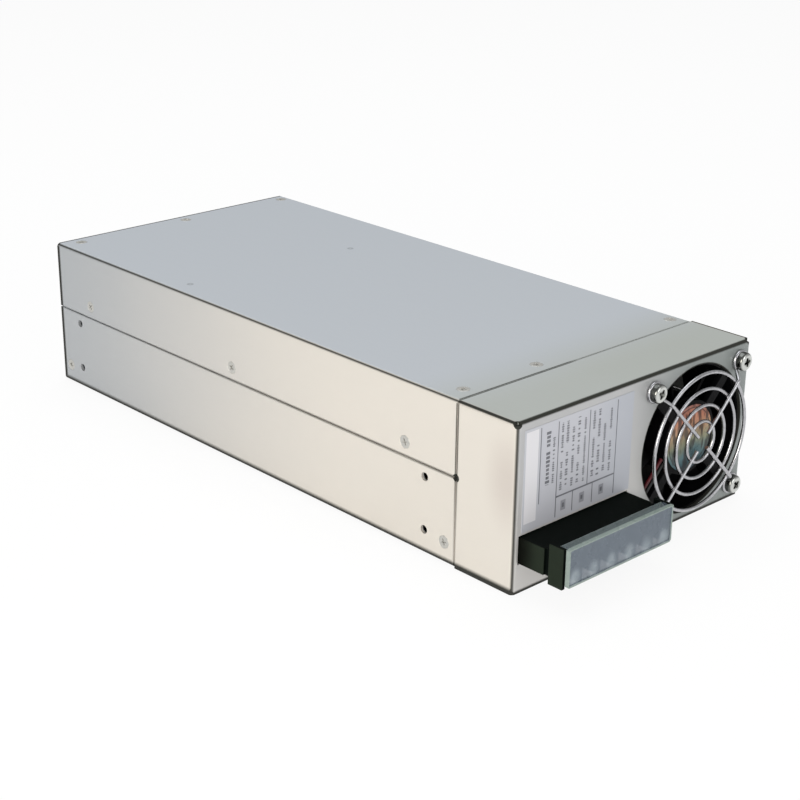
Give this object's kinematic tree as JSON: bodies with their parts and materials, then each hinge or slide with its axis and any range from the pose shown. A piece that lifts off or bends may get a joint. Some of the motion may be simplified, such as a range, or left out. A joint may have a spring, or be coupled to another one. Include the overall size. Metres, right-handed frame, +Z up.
{
  "type": "switching power supply",
  "caption": "Enclosed metal-cased mains power converter with a fan and wire guard, a barrier terminal strip with a hinged clear lid, and output busbars at the rear",
  "frame": {"origin": "on the underside, under the middle of the case", "axes": "+X to the right seen from the front panel, -Y out of the front panel, +Z up"},
  "size_m": [0.127, 0.3198, 0.0635],
  "materials": {
    "case_sheet": "satin passivated sheet",
    "screw_steel": "plated",
    "guard_wire": "bright plated wire",
    "fan_plastic": "moulded",
    "bearing_bronze": "sintered",
    "stator_iron": "laminated",
    "magnet_rubber": "moulded",
    "fan_foil": "printed foil",
    "label_foil": "printed foil",
    "block_moulding": "moulded",
    "contact_tin": "tin plated",
    "clear_lid": "clear smoky",
    "lead_red": "insulated wire",
    "lead_black": "insulated wire",
    "plug_nylon": "nylon",
    "board_laminate": "solder mask",
    "liner_film": "film",
    "standoff_brass": "turned",
    "sink_aluminium": "extruded",
    "ferrite": "sintered",
    "winding_copper": "enamelled wire",
    "capacitor_sleeve": "sleeve",
    "film_box": "moulded box",
    "device_epoxy": "moulded",
    "fuse_glass": "clear",
    "insulator_moulding": "moulded",
    "trimmer_case": "moulded",
    "trimmer_brass": "turned",
    "lamp_lens": "tinted"
  },
  "bodies": {
    "case": {"board_screws": "screw_steel", "board_standoffs": "standoff_brass", "bridge_rectifier": "device_epoxy", "bulk_capacitors": "capacitor_sleeve", "busbar_bolts": "screw_steel", "busbar_insulator": "insulator_moulding", "busbar_negative": "contact_tin", "busbar_nuts": "screw_steel", "busbar_positive": "contact_tin", "chassis": "case_sheet", "chassis_side_screws": "screw_steel", "control_board": "board_laminate", "control_chips": "device_epoxy", "cover": "case_sheet", "cover_side_screws": "screw_steel", "cover_top_screws": "screw_steel", "fan_bearing": "bearing_bronze", "fan_frame": "fan_plastic", "fan_label": "fan_foil", "fan_lead_black": "lead_black", "fan_lead_red": "lead_red", "fan_plug": "plug_nylon", "fan_screws": "screw_steel", "fan_stator": "stator_iron", "filter_choke_cores": "ferrite", "filter_choke_windings": "winding_copper", "finger_guard": "guard_wire", "front_cap": "case_sheet", "fuse": "fuse_glass", "fuse_clips": "contact_tin", "inrush_relay": "device_epoxy", "insulation_sheet": "liner_film", "main_board": "board_laminate", "output_capacitors": "capacitor_sleeve", "output_choke_core": "ferrite", "output_choke_winding": "winding_copper", "output_rectifiers": "device_epoxy", "pfc_choke_core": "ferrite", "pfc_choke_winding": "winding_copper", "pfc_transistors": "device_epoxy", "primary_heatsink": "sink_aluminium", "rating_label": "label_foil", "rear_panel": "case_sheet", "secondary_heatsink": "sink_aluminium", "signal_connector": "plug_nylon", "status_lamp": "lamp_lens", "terminal_block": "block_moulding", "terminal_clamps": "contact_tin", "terminal_contacts": "contact_tin", "terminal_screws": "screw_steel", "transformer_core": "ferrite", "transformer_winding": "winding_copper", "trimmer_body": "trimmer_case", "x_capacitors": "film_box"},
    "fan_wheel": {"fan_rotor": "fan_plastic", "fan_magnet": "magnet_rubber", "fan_shaft": "screw_steel"},
    "terminal_lid": {"terminal_cover": "clear_lid"},
    "output_trimmer": {"trimmer_rotor": "trimmer_brass"}
  },
  "joints": [
    {"name": "fan_spin", "type": "hinge", "parent": "case", "child": "fan_wheel", "pos_m": [0.03175, -0.125, 0.03175], "axis": [0, 1, 0], "continuous": true},
    {"name": "lid_hinge", "type": "hinge", "parent": "case", "child": "terminal_lid", "pos_m": [-0.0328, -0.1566, 0.0226], "axis": [-1, 0, 0], "range_deg": [0, 105]},
    {"name": "trimmer_turn", "type": "hinge", "parent": "case", "child": "output_trimmer", "pos_m": [-0.01675, 0.13, 0.01355], "axis": [0, 1, 0], "range_deg": [-135, 135]}
  ]
}
